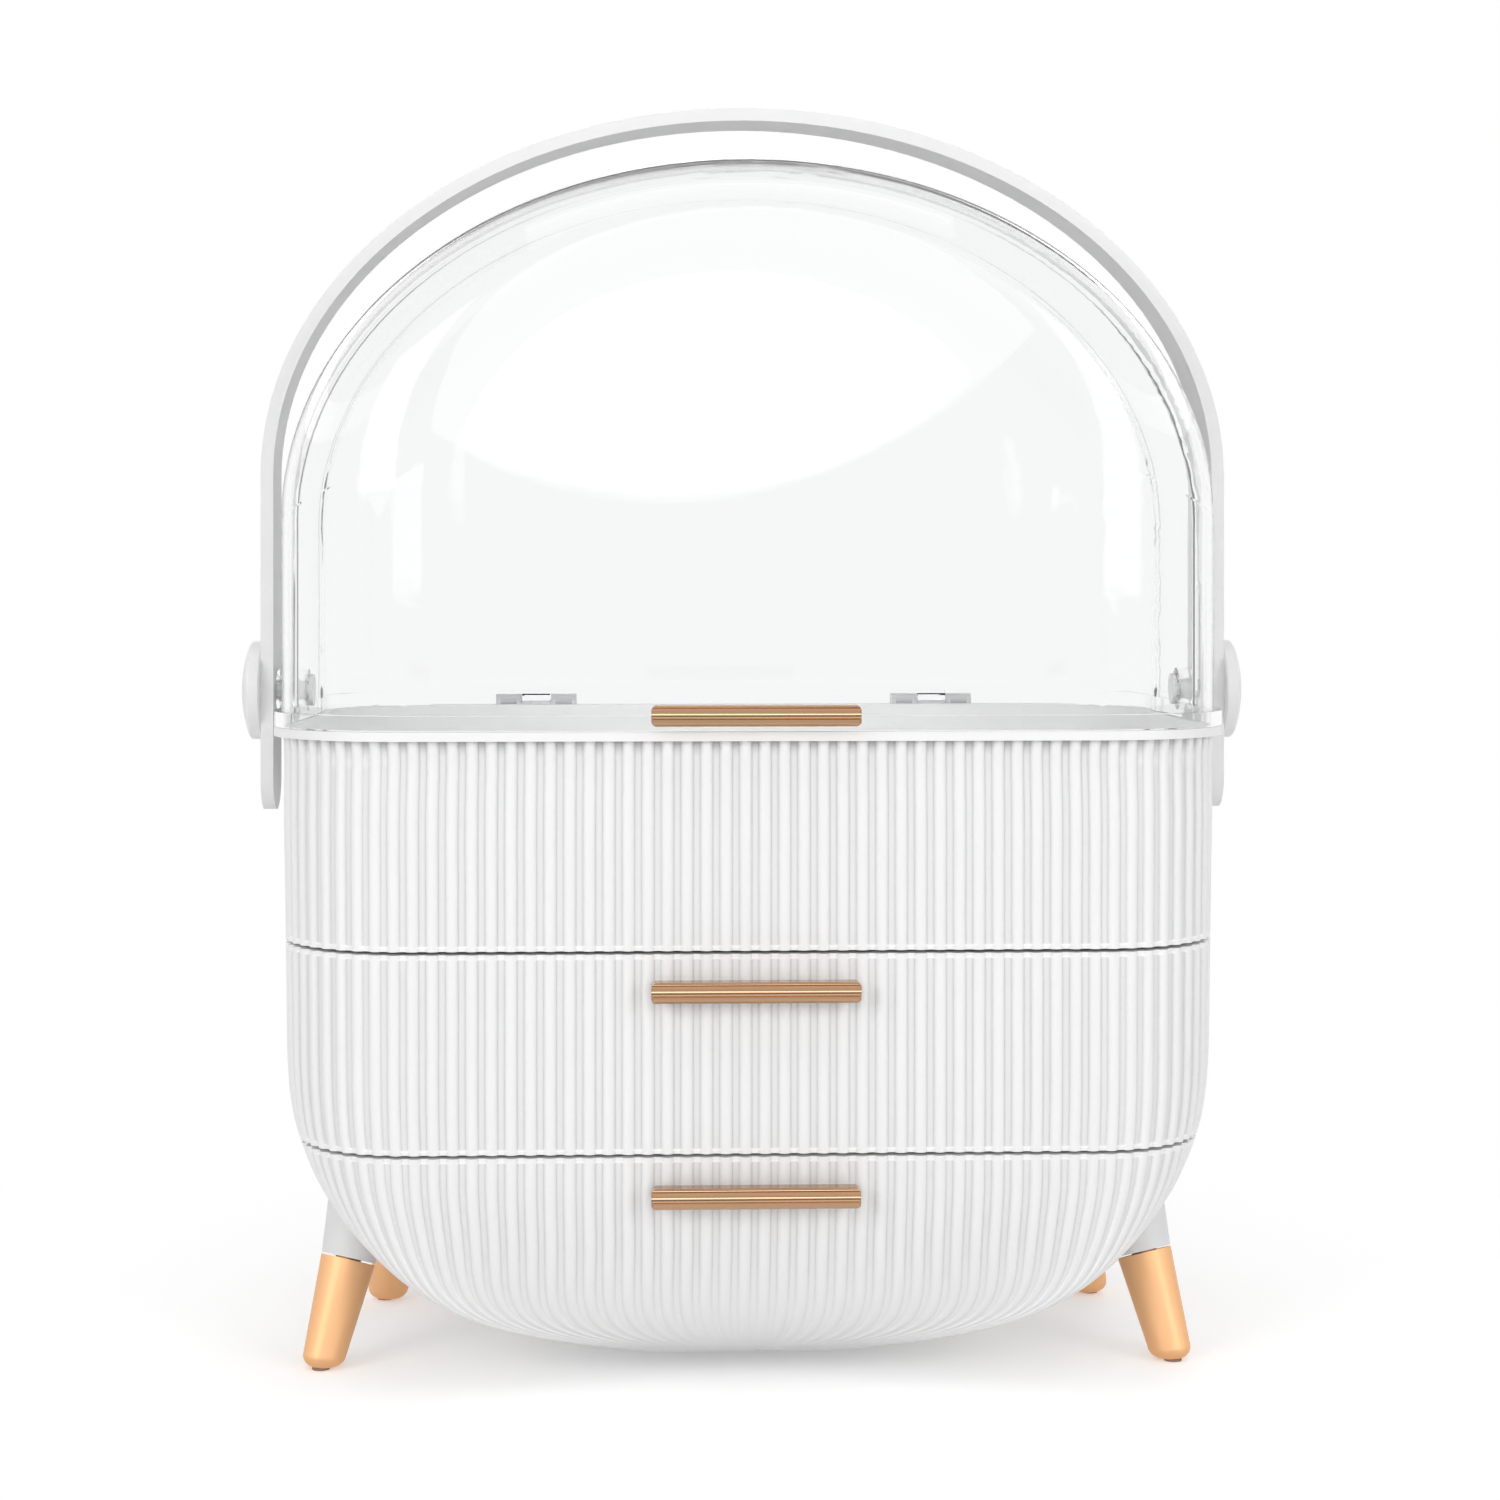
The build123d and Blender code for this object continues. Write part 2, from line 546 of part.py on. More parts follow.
# Legs, front pair wider apart than the rear pair
leg_places = {
    "front_left": (-1, -1, FRONT_FOOT_INSET, FRONT_TIP_LENGTH),
    "front_right": (1, -1, FRONT_FOOT_INSET, FRONT_TIP_LENGTH),
    "rear_left": (-1, 1, REAR_FOOT_INSET, REAR_TIP_LENGTH),
    "rear_right": (1, 1, REAR_FOOT_INSET, REAR_TIP_LENGTH),
}
leg_holes = []
leg_screws = []
for place, (side_x, side_y, inset, tip_length) in leg_places.items():
    foot_at = (side_x * (BODY_HALF_WIDTH - inset), side_y * (PARTING - FOOT_FROM_PARTING))
    lean_by = (-side_x * LEG_LEAN_X, -side_y * LEG_LEAN_Y)
    sleeve, tip, pad, leg_screw, leg_hole = leg_pieces(foot_at, lean_by, tip_length)
    nodes[f"leg_sleeve_{place}"] = sleeve
    nodes[f"leg_tip_{place}"] = tip
    nodes[f"foot_pad_{place}"] = pad
    leg_screws.append(leg_screw)
    leg_holes.append(leg_hole)
nodes["leg_screws"] = leg_screws

# Cabinet shell: the back and sides, with a ledge for the shelf, drawer guides and screw bosses
BACK_START = -PARTING + SEAM_GAP
back_space = block((-REACH, REACH), (BACK_START, REACH), (BOWL_BOTTOM, UPPER_SEAM - SEAT_GAP))
cabinet_shell = (body_form & back_space) - inside
ledge_ring = inside - plain_form(BOWL_BOTTOM + BODY_WALL + 5.0, RIM_UNDERSIDE, BODY_WALL + 5.0)
cabinet_shell += ledge_ring & block(
    (-REACH, REACH), (BACK_START, REACH), (LOWER_SEAM - PLATE, LOWER_SEAM)
)
GUIDE_Z = 0.5 * (LOWER_SEAM + UPPER_SEAM)
guide = block(
    (MID_TRAY_HALF_WIDTH + SLIDE_CLEARANCE, BODY_HALF_WIDTH),
    (BACK_START, MID_TRAY_BACK - MID_TRAY_BACK_CORNER),
    (GUIDE_Z - 2.0, GUIDE_Z + 2.0),
)
runner = block(
    (LOW_TRAY_FLOOR_HALF - 8.0, LOW_TRAY_FLOOR_HALF + 14.0),
    (BACK_START, LOW_TRAY_BACK),
    (BOWL_BOTTOM + 0.5, LOW_TRAY_FLOOR + 5.0),
) - low_tray_form(-SLIDE_CLEARANCE, LOW_TRAY_FLOOR - SLIDE_CLEARANCE, LOW_TRAY_TOP)
wall_middle = plain_form(BOWL_BOTTOM + 1.0, RIM_UNDERSIDE, 0.5 * BODY_WALL)
guides = [shape & wall_middle for shape in both_sides(guide) + both_sides(runner)]
bin_screw_x = half_width_at(UPPER_SEAM, BODY_WALL) - BOSS_RADIUS - 0.6
bin_screw_spots = [(x, y) for x in (-bin_screw_x, bin_screw_x) for y in (-25.0, 40.0)]
posts = []
post_holes = []
for x, y in bin_screw_spots:
    wall_x = (half_width_at(UPPER_SEAM, BODY_WALL) + 1.0) * (1 if x > 0 else -1)
    post = rod((x, y, UPPER_SEAM - 14.0), (x, y, UPPER_SEAM), BOSS_RADIUS)
    web = block(sorted((x, wall_x)), (y - 2.0, y + 2.0), (UPPER_SEAM - 14.0, UPPER_SEAM))
    posts.append(post + web)
    post_holes.append(rod((x, y, UPPER_SEAM - 12.0), (x, y, UPPER_SEAM), SCREW_HOLE))
cabinet_shell = cabinet_shell + guides + posts - (leg_holes + post_holes)
nodes["cabinet_shell"] = cabinet_shell

# Shelf between the drawers
nodes["drawer_shelf"] = plain_form(
    BOWL_BOTTOM + BODY_WALL + 0.3, RIM_UNDERSIDE, BODY_WALL + 0.3
) & block((-REACH, REACH), (BACK_START, REACH), (LOWER_SEAM, LOWER_SEAM + PLATE))

# Top bin with its rim and the fixed halves of the hinge
top_bin = (body_form & slab(UPPER_SEAM, RIM_UNDERSIDE)) + rim_plate(RIM_UNDERSIDE, RIM_TOP)
top_bin -= plain_form(UPPER_SEAM + BIN_FLOOR, RIM_TOP, BODY_WALL)
barrel_step = KNUCKLE_HALF + KNUCKLE_GAP + 0.5 * KNUCKLE_LENGTH
pin_half = barrel_step + 0.5 * KNUCKLE_LENGTH
hinge_pins = {}
barrels = []
for side, name in ((-1, "left"), (1, "right")):
    middle = side * HINGE_OFFSET
    for step in (-barrel_step, barrel_step):
        web_heights = (RIM_TOP - KNUCKLE_RADIUS, RIM_TOP - KNUCKLE_GAP)
        barrels.append(knuckle(middle + step, 0.5 * KNUCKLE_LENGTH, *web_heights))
    hinge_pins[name] = [(middle + end * pin_half, HINGE_Y, RIM_TOP) for end in (-1, 1)]
    nodes[f"hinge_pin_{name}"] = rod(*hinge_pins[name], PIN_RADIUS)
pin_holes = [rod(*ends, PIN_RADIUS + PRESS_CLEARANCE) for ends in hinge_pins.values()]
seat_z = UPPER_SEAM + BIN_FLOOR
floor_holes = [
    rod((x, y, UPPER_SEAM - 1.0), (x, y, seat_z + 1.0), SCREW_HOLE) for x, y in bin_screw_spots
]
top_bin = top_bin + barrels - (pin_holes + floor_holes)
bin_screws = [screw((x, y, seat_z), (x, y, UPPER_SEAM - 10.0)) for x, y in bin_screw_spots]
nodes["top_bin"] = top_bin
nodes["bin_screws"] = bin_screws

# Middle drawer
mid_inside = mid_tray_form(TRAY_WALL, MID_TRAY_FLOOR + TRAY_WALL, UPPER_SEAM)
mid_front = drawer_front(body_form, mid_inside, MID_TRAY_FRONT, LOWER_SEAM, MID_FRONT_TOP, MID_PULL_Z)
mid_front += inside & block((-REACH, REACH), (-REACH, -PARTING), (LOWER_SEAM, LOWER_SEAM + PLATE))
mid_tray = mid_tray_form(0.0, MID_TRAY_FLOOR, MID_TRAY_TOP) - mid_inside
for x in (-0.5 * PULL_SCREW_SPACING, 0.5 * PULL_SCREW_SPACING):
    mid_tray -= rod((x, -REACH, MID_PULL_Z), (x, 0, MID_PULL_Z), SCREW_HOLE)
nodes["mid_front"] = mid_front
nodes["mid_tray"] = mid_tray
nodes["mid_pull"] = drawer_pull(MID_PULL_Z)
nodes["mid_pull_screws"] = drawer_pull_screws(MID_PULL_Z, -MID_TRAY_FRONT + TRAY_WALL)

# Bottom drawer
low_inside = low_tray_form(TRAY_WALL, LOW_TRAY_FLOOR + TRAY_WALL, LOWER_SEAM)
low_front = drawer_front(body_form, low_inside, LOW_TRAY_FRONT, BOWL_BOTTOM, LOW_FRONT_TOP, LOW_PULL_Z)
low_tray = low_tray_form(0.0, LOW_TRAY_FLOOR, LOW_TRAY_TOP) - low_inside
for x in (-0.5 * PULL_SCREW_SPACING, 0.5 * PULL_SCREW_SPACING):
    low_tray -= rod((x, -REACH, LOW_PULL_Z), (x, 0, LOW_PULL_Z), SCREW_HOLE)
nodes["low_front"] = low_front
nodes["low_tray"] = low_tray
nodes["low_pull"] = drawer_pull(LOW_PULL_Z)
nodes["low_pull_screws"] = drawer_pull_screws(LOW_PULL_Z, -LOW_TRAY_FRONT + TRAY_WALL)

# Lid: flange, dome, pivot bosses and the moving halves of the hinge
lid_shell = rim_plate(LID_BASE, LID_BASE + LID_FLANGE) + lid_form(0.0, LID_BASE)
boss_end = HANDLE_INSIDE - KNUCKLE_GAP
stud_start = LID_HALF_WIDTH - LID_WALL
lid_bosses = both_sides(rod((stud_start, 0, PIVOT_Z), (boss_end, 0, PIVOT_Z), LID_BOSS_RADIUS))
web_heights = (LID_BASE + KNUCKLE_GAP, LID_BASE + LID_FLANGE)
leaves = [
    knuckle(side * HINGE_OFFSET, KNUCKLE_HALF, *web_heights) for side in (-1, 1)
]
lid_shell = lid_shell + lid_bosses + leaves - lid_form(LID_WALL, LID_BASE - 1.0)
lid_holes = [rod(*ends, PIN_RADIUS + RUN_CLEARANCE) for ends in hinge_pins.values()]
lid_holes += both_sides(
    rod((stud_start - 1.0, 0, PIVOT_Z), (boss_end + 1.0, 0, PIVOT_Z), STUD_RADIUS + PRESS_CLEARANCE)
)
lid_shell = lid_shell - lid_holes
nodes["lid_shell"] = lid_shell

# Lid pull: the same bar, bonded on by a tongue that lies on the flange against the dome
lid_pull = pull_bar(-RIM_HALF_DEPTH, LID_PULL_Z)
lid_pull += block(
    (-0.5 * PULL_SCREW_SPACING - 6.0, 0.5 * PULL_SCREW_SPACING + 6.0),
    (-RIM_HALF_DEPTH - 0.5, -LID_HALF_DEPTH),
    (LID_BASE + LID_FLANGE, LID_PULL_Z + 0.5 * PULL_HEIGHT),
)
nodes["lid_pull"] = lid_pull

# Handle: an arch that clears the lid all the way round, with rounded tails below the pivots
lid_reach = 0.0
for step in range(61):
    depth = LID_HALF_DEPTH * step / 60.0
    lid_reach = max(lid_reach, hypot(depth, lid_section(depth, 0.0)[1] - PIVOT_Z))
handle_inner_top = PIVOT_Z + lid_reach + HANDLE_SWEEP_GAP
handle_spring = PIVOT_Z + HANDLE_SPRING
tail_end = PIVOT_Z - HANDLE_TAIL
outer_arch = arch(HANDLE_OUTSIDE, handle_spring, handle_inner_top + HANDLE_THICKNESS, tail_end)
inner_arch = arch(HANDLE_INSIDE, handle_spring, handle_inner_top, tail_end - 1.0)
handle_band = extrude(outer_arch - inner_arch, 0.5 * HANDLE_WIDTH, both=True)
tail_edges = [
    e for e in handle_band.edges() if e.center().Z < tail_end + 0.1 and abs(e.center().Y) > 1.0
]
handle_band = fillet(tail_edges, 0.48 * HANDLE_WIDTH)
for hole in both_sides(
    rod(
        (HANDLE_INSIDE - 1.0, 0, PIVOT_Z),
        (HANDLE_OUTSIDE + 1.0, 0, PIVOT_Z),
        STUD_RADIUS + RUN_CLEARANCE,
    )
):
    handle_band -= hole
nodes["handle_band"] = handle_band

# Pivot studs through the lid's bosses and the handle, under domed caps
stud = rod(
    (stud_start - STUD_HEAD, 0, PIVOT_Z), (HANDLE_OUTSIDE + KNUCKLE_GAP, 0, PIVOT_Z), STUD_RADIUS
)
stud += rod((stud_start - STUD_HEAD, 0, PIVOT_Z), (stud_start, 0, PIVOT_Z), STUD_HEAD_RADIUS)
stud += rod(
    (HANDLE_OUTSIDE + KNUCKLE_GAP, 0, PIVOT_Z),
    (HANDLE_OUTSIDE + KNUCKLE_GAP + STUD_HEAD, 0, PIVOT_Z),
    STUD_HEAD_RADIUS,
)
dome_radius = (CAP_RADIUS**2 + (CAP_DOME - CAP_EDGE) ** 2) / (2.0 * (CAP_DOME - CAP_EDGE))
cap = Cylinder(CAP_RADIUS, CAP_DOME, align=FLOOR_ALIGN)
cap &= Pos(0, 0, CAP_DOME - dome_radius) * Sphere(dome_radius)
cap = fillet([e for e in cap.edges() if e.is_closed and e.center().Z > 0.5 * CAP_EDGE], 1.2)
cap = chamfer([e for e in cap.edges() if e.is_closed and e.center().Z < 0.1 * CAP_EDGE], 0.5)
cap -= Cylinder(CAP_RECESS_RADIUS, CAP_RECESS, align=FLOOR_ALIGN)
cap = Pos(HANDLE_OUTSIDE, 0, PIVOT_Z) * Rot(0, 90, 0) * cap
for name, stud_side, cap_side in zip(("right", "left"), both_sides(stud), both_sides(cap)):
    nodes[f"pivot_stud_{name}"] = stud_side
    nodes[f"pivot_cap_{name}"] = cap_side

for name, shape in nodes.items():
    solids = shape if isinstance(shape, list) else [shape]
    whole = Compound([solid for piece in solids for solid in piece.solids()])
    export_step(whole.solids()[0] if len(whole.solids()) == 1 else whole, f"parts/{name}.step")
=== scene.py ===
# %% [markdown]
# # A makeup organizer, dressed for its portrait
# The solids of the organizer arrive as a fixed frame: every node is a mesh in metres that already sits
# where the real piece sits. This lesson gives each piece the finish that the real one shows, and sets up
# a white studio around them.

import json
from math import cos, radians, sin

import bmesh
import bpy
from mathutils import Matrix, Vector

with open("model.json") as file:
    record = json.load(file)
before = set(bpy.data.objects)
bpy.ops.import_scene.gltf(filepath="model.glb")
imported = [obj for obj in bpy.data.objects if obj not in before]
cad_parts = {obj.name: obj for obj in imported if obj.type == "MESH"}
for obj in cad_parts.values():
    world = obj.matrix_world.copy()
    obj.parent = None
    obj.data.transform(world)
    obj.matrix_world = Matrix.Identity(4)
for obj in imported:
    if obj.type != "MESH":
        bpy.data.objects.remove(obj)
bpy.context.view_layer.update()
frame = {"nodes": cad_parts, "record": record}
nodes = frame["nodes"]


# %% [markdown]
# ## The camera
# The photograph was taken level, from a little above the rim, a bit to the left of the middle. A level
# camera keeps upright lines upright, so instead of tilting it down, its frame is shifted down.

# %% Camera
CAMERA_DISTANCE = 0.94
CAMERA_TURN = radians(-2.2)
CAMERA_HEIGHT = 0.245
SENSOR_WIDTH = 36.0
LENS = 69.8
FRAME_SHIFT = (0.004, -0.12)

scene = bpy.context.scene
camera = bpy.data.objects.new("camera", bpy.data.cameras.new("camera"))
scene.collection.objects.link(camera)
scene.camera = camera
camera.location = (
    CAMERA_DISTANCE * sin(CAMERA_TURN),
    -CAMERA_DISTANCE * cos(CAMERA_TURN),
    CAMERA_HEIGHT,
)
camera.rotation_euler = (radians(90.0), 0.0, CAMERA_TURN)
camera.data.sensor_width = SENSOR_WIDTH
camera.data.lens = LENS
camera.data.shift_x, camera.data.shift_y = FRAME_SHIFT
scene.view_settings.view_transform = "Standard"
print("camera", camera.location[:])


# %% [markdown]
# ## Node helpers
# A material is a small graph of nodes. A few helpers keep the graphs readable: one adds a node and sets
# its plain values, one joins an output to an input by their names, one gives a node group its sockets
# and one starts a material.

# %% Node helpers
SURFACE_OUTPUTS = (
    ("Color", "NodeSocketColor"),
    ("Roughness", "NodeSocketFloat"),
    ("Height", "NodeSocketFloat"),
)
MIX_A, MIX_B, MIX_RESULT = 6, 7, 2


def add(tree, kind, **values):
    """A new node, with its input values set by socket name and its properties by attribute name."""
    node = tree.nodes.new(kind)
    for key, value in values.items():
        name = key.replace("_", " ").title()
        if hasattr(node, key):
            setattr(node, key, value)
        else:
            node.inputs[name].default_value = value
    return node


def join(tree, source, output, target, into):
    """Links an output to an input, both by name or number."""
    tree.links.new(source.outputs[output], target.inputs[into])


def add_sockets(group, inputs, outputs):
    """Gives a node group its inputs, each with its usual value, and its outputs."""
    for name, kind, default in inputs:
        socket = group.interface.new_socket(name, in_out="INPUT", socket_type=kind)
        socket.default_value = default
    for name, kind in outputs:
        group.interface.new_socket(name, in_out="OUTPUT", socket_type=kind)


def new_material(name):
    """An empty material with a Principled shader joined to its output."""
    material = bpy.data.materials.new(name)
    material.use_nodes = True
    tree = material.node_tree
    tree.nodes.clear()
    shader = add(tree, "ShaderNodeBsdfPrincipled")
    output = add(tree, "ShaderNodeOutputMaterial")
    join(tree, shader, "BSDF", output, "Surface")
    return material, tree, shader


print("a surface group puts out", [name for name, kind in SURFACE_OUTPUTS])


# %% [markdown]
# ## The moulded surface
# Injection-moulded plastic isn't one flat colour. It has slow, faint changes of tone from the flow of
# the melt, a fine orange-peel skin and small changes of gloss where it was handled. The flat bottoms of
# the grooves are painted a touch greyer: this is painted shade, standing in for the shade that falls in
# them. Two Ambient Occlusion nodes find them: one looks outwards and sees less of the sky in any hollow,
# the other looks into the wall and finds it thin where a reed swells, so that only the flats are left.
# All the plastic pieces share these, so they are one node group with its own values in each material.

# %% Moulded surface group
GROOVE_REACH = 0.005
REED_REACH = 0.0018
RIM_OCCLUSION = 0.85

moulded = bpy.data.node_groups.new("moulded_surface", "ShaderNodeTree")
moulded_inputs = (
    ("Tone", "NodeSocketColor", (0.9, 0.9, 0.9, 1.0)),
    ("Flow Tone", "NodeSocketColor", (0.86, 0.86, 0.86, 1.0)),
    ("Painted Groove Shade", "NodeSocketColor", (0.7, 0.7, 0.7, 1.0)),
    ("Gloss Low", "NodeSocketFloat", 0.25),
    ("Gloss High", "NodeSocketFloat", 0.35),
    ("Skin Scale", "NodeSocketFloat", 900.0),
)
add_sockets(moulded, moulded_inputs, SURFACE_OUTPUTS)
group_in = add(moulded, "NodeGroupInput")
group_out = add(moulded, "NodeGroupOutput")
place = add(moulded, "ShaderNodeTexCoord")
flow = add(moulded, "ShaderNodeTexNoise", scale=14.0, detail=3.0, roughness=0.55)
handled = add(moulded, "ShaderNodeTexNoise", scale=60.0, detail=4.0, roughness=0.6)
skin = add(moulded, "ShaderNodeTexNoise", detail=2.0, roughness=0.5)
tone_mix = add(moulded, "ShaderNodeMix", data_type="RGBA")
hollow = add(moulded, "ShaderNodeAmbientOcclusion", samples=12, only_local=True, distance=GROOVE_REACH)
swell = add(moulded, "ShaderNodeAmbientOcclusion", samples=16, only_local=True, distance=REED_REACH)
swell.inside = True
# The two readings, kept away from the thick rims, make the mask of the painted shade in the groove
# flats.
hollow_share = add(moulded, "ShaderNodeMapRange", clamp=False, from_min=1.0, from_max=0.93)
flat_share = add(moulded, "ShaderNodeMapRange", clamp=False, from_min=0.94, from_max=1.0)
groove_shade_share = add(moulded, "ShaderNodeMath", operation="MULTIPLY")
below_rims = add(moulded, "ShaderNodeMath", operation="GREATER_THAN")
below_rims.inputs[1].default_value = RIM_OCCLUSION
painted_shade_mask = add(moulded, "ShaderNodeMath", operation="MULTIPLY")
groove_shade_mix = add(moulded, "ShaderNodeMix", data_type="RGBA", clamp_factor=False)
gloss_mix = add(moulded, "ShaderNodeMapRange")
for texture in (flow, handled, skin):
    join(moulded, place, "Object", texture, "Vector")
join(moulded, group_in, "Skin Scale", skin, "Scale")
join(moulded, flow, "Fac", tone_mix, "Factor")
join(moulded, group_in, "Tone", tone_mix, MIX_A)
join(moulded, group_in, "Flow Tone", tone_mix, MIX_B)
join(moulded, handled, "Fac", gloss_mix, "Value")
join(moulded, group_in, "Gloss Low", gloss_mix, "To Min")
join(moulded, group_in, "Gloss High", gloss_mix, "To Max")
join(moulded, hollow, "AO", hollow_share, "Value")
join(moulded, swell, "AO", flat_share, "Value")
join(moulded, hollow_share, "Result", groove_shade_share, 0)
join(moulded, flat_share, "Result", groove_shade_share, 1)
join(moulded, swell, "AO", below_rims, 0)
join(moulded, groove_shade_share, "Value", painted_shade_mask, 0)
join(moulded, below_rims, "Value", painted_shade_mask, 1)
join(moulded, painted_shade_mask, "Value", groove_shade_mix, "Factor")
join(moulded, tone_mix, MIX_RESULT, groove_shade_mix, MIX_A)
join(moulded, group_in, "Painted Groove Shade", groove_shade_mix, MIX_B)
join(moulded, groove_shade_mix, MIX_RESULT, group_out, "Color")
join(moulded, gloss_mix, "Result", group_out, "Roughness")
join(moulded, skin, "Fac", group_out, "Height")
print("group", moulded.name, "with", len(moulded.nodes), "nodes")


# %% [markdown]
# Each plastic is the group with its own tones and gloss, a skin of its own depth, and the same index
# of refraction.

# %% Plastics
GROOVE_SHADE = 0.95
SKIN_STRENGTH = 0.12
PLASTIC_INDEX = 1.49


def moulded_plastic(name, tone, flow_tone, gloss, skin_depth):
    """A plastic material on the moulded surface."""
    material, tree, shader = new_material(name)
    surface = add(tree, "ShaderNodeGroup", node_tree=moulded)
    surface.inputs["Tone"].default_value = (*tone, 1.0)
    surface.inputs["Flow Tone"].default_value = (*flow_tone, 1.0)
    # The groove colour is painted shade: the flow tone darkened by GROOVE_SHADE.
    painted_groove_shade = [GROOVE_SHADE * value for value in flow_tone]
    surface.inputs["Painted Groove Shade"].default_value = (*painted_groove_shade, 1.0)
    surface.inputs["Gloss Low"].default_value = gloss[0]
    surface.inputs["Gloss High"].default_value = gloss[1]
    bump = add(tree, "ShaderNodeBump", strength=SKIN_STRENGTH, distance=skin_depth)
    join(tree, surface, "Height", bump, "Height")
    join(tree, surface, "Color", shader, "Base Color")
    join(tree, surface, "Roughness", shader, "Roughness")
    join(tree, bump, "Normal", shader, "Normal")
    shader.inputs["IOR"].default_value = PLASTIC_INDEX
    return material


reeded_white = moulded_plastic(
    "reeded_white", (0.885, 0.885, 0.885), (0.86, 0.86, 0.862), gloss=(0.3, 0.4), skin_depth=0.0002
)
handle_white = moulded_plastic(
    "handle_white", (0.86, 0.86, 0.86), (0.84, 0.84, 0.842), gloss=(0.36, 0.44), skin_depth=0.00004
)
leg_white = moulded_plastic(
    "leg_white", (0.79, 0.79, 0.79), (0.765, 0.765, 0.767), gloss=(0.34, 0.44), skin_depth=0.0001
)
tray_white = moulded_plastic(
    "tray_white", (0.87, 0.87, 0.865), (0.845, 0.845, 0.84), gloss=(0.4, 0.52), skin_depth=0.0003
)
pad_rubber = moulded_plastic(
    "pad_rubber", (0.3, 0.225, 0.165), (0.26, 0.195, 0.145), gloss=(0.7, 0.85), skin_depth=0.0006
)
plastics = (reeded_white, handle_white, leg_white, tray_white, pad_rubber)
print("plastics", [plastic.name for plastic in plastics])


# %% [markdown]
# ## The plated surface
# The pulls and leg tips are plated. Plating takes the fine draw lines of the polished metal below it, so
# the group stretches a noise along one axis for the lines and adds a slow change of tint.

# %% Plated surface group
plated = bpy.data.node_groups.new("plated_surface", "ShaderNodeTree")
plated_inputs = (
    ("Tint", "NodeSocketColor", (0.8, 0.6, 0.4, 1.0)),
    ("Deep Tint", "NodeSocketColor", (0.7, 0.5, 0.35, 1.0)),
    ("Gloss Low", "NodeSocketFloat", 0.25),
    ("Gloss High", "NodeSocketFloat", 0.35),
    ("Lines", "NodeSocketVector", (40.0, 900.0, 900.0)),
)
add_sockets(plated, plated_inputs, SURFACE_OUTPUTS)
group_in = add(plated, "NodeGroupInput")
group_out = add(plated, "NodeGroupOutput")
place = add(plated, "ShaderNodeTexCoord")
stretch = add(plated, "ShaderNodeVectorMath", operation="MULTIPLY")
lines = add(plated, "ShaderNodeTexNoise", scale=1.0, detail=3.0, roughness=0.6)
drift = add(plated, "ShaderNodeTexNoise", scale=35.0, detail=2.0, roughness=0.5)
tint_mix = add(plated, "ShaderNodeMix", data_type="RGBA")
gloss_mix = add(plated, "ShaderNodeMapRange")
join(plated, place, "Object", stretch, 0)
join(plated, group_in, "Lines", stretch, 1)
join(plated, stretch, "Vector", lines, "Vector")
join(plated, place, "Object", drift, "Vector")
join(plated, drift, "Fac", tint_mix, "Factor")
join(plated, group_in, "Tint", tint_mix, MIX_A)
join(plated, group_in, "Deep Tint", tint_mix, MIX_B)
join(plated, lines, "Fac", gloss_mix, "Value")
join(plated, group_in, "Gloss Low", gloss_mix, "To Min")
join(plated, group_in, "Gloss High", gloss_mix, "To Max")
join(plated, tint_mix, MIX_RESULT, group_out, "Color")
join(plated, gloss_mix, "Result", group_out, "Roughness")
join(plated, lines, "Fac", group_out, "Height")
print("group", plated.name, "with", len(plated.nodes), "nodes")


# %% [markdown]
# The pulls and the screws are drawn along the organizer's width or depth, the leg tips along their
# height. The lines are so fine that they only soften the highlights.

# %% Metals
LINE_STRENGTH = 0.1


def plated_metal(name, tint, deep_tint, gloss, draw_lines, line_depth):
    """A metal material on the plated surface."""
    material, tree, shader = new_material(name)
    surface = add(tree, "ShaderNodeGroup", node_tree=plated)
    surface.inputs["Tint"].default_value = (*tint, 1.0)
    surface.inputs["Deep Tint"].default_value = (*deep_tint, 1.0)
    surface.inputs["Gloss Low"].default_value = gloss[0]
    surface.inputs["Gloss High"].default_value = gloss[1]
    surface.inputs["Lines"].default_value = draw_lines
    bump = add(tree, "ShaderNodeBump", strength=LINE_STRENGTH, distance=line_depth)
    join(tree, surface, "Height", bump, "Height")
    join(tree, surface, "Color", shader, "Base Color")
    join(tree, surface, "Roughness", shader, "Roughness")
    join(tree, bump, "Normal", shader, "Normal")
    shader.inputs["Metallic"].default_value = 1.0
    return material


pull_gold = plated_metal(
    "pull_gold",
    (0.47, 0.295, 0.18),
    (0.44, 0.27, 0.16),
    gloss=(0.15, 0.18),
    draw_lines=(60.0, 4000.0, 4000.0),
    line_depth=0.00002,
)
tip_gold = plated_metal(
    "tip_gold",
    (0.78, 0.46, 0.245),
    (0.75, 0.435, 0.22),
    gloss=(0.48, 0.54),
    draw_lines=(2500.0, 2500.0, 60.0),
    line_depth=0.00004,
)
steel = plated_metal(
    "steel",
    (0.62, 0.62, 0.63),
    (0.55, 0.55, 0.56),
    gloss=(0.3, 0.42),
    draw_lines=(900.0, 60.0, 900.0),
    line_depth=0.0001,
)
print("metals", pull_gold.name, tip_gold.name, steel.name)


# %% [markdown]
# ## The clear lid
# Clear plastic bends light as it enters and leaves, so a real wall thickness does most of the work:
# the edges darken by themselves where one looks along the wall. The index is set low, which keeps the
# lid as light as the photograph shows it, and a few smears break up its gloss.

# %% Clear plastic
CLEAR_INDEX = 1.25
SMEAR_ROUGHNESS = (0.015, 0.05)

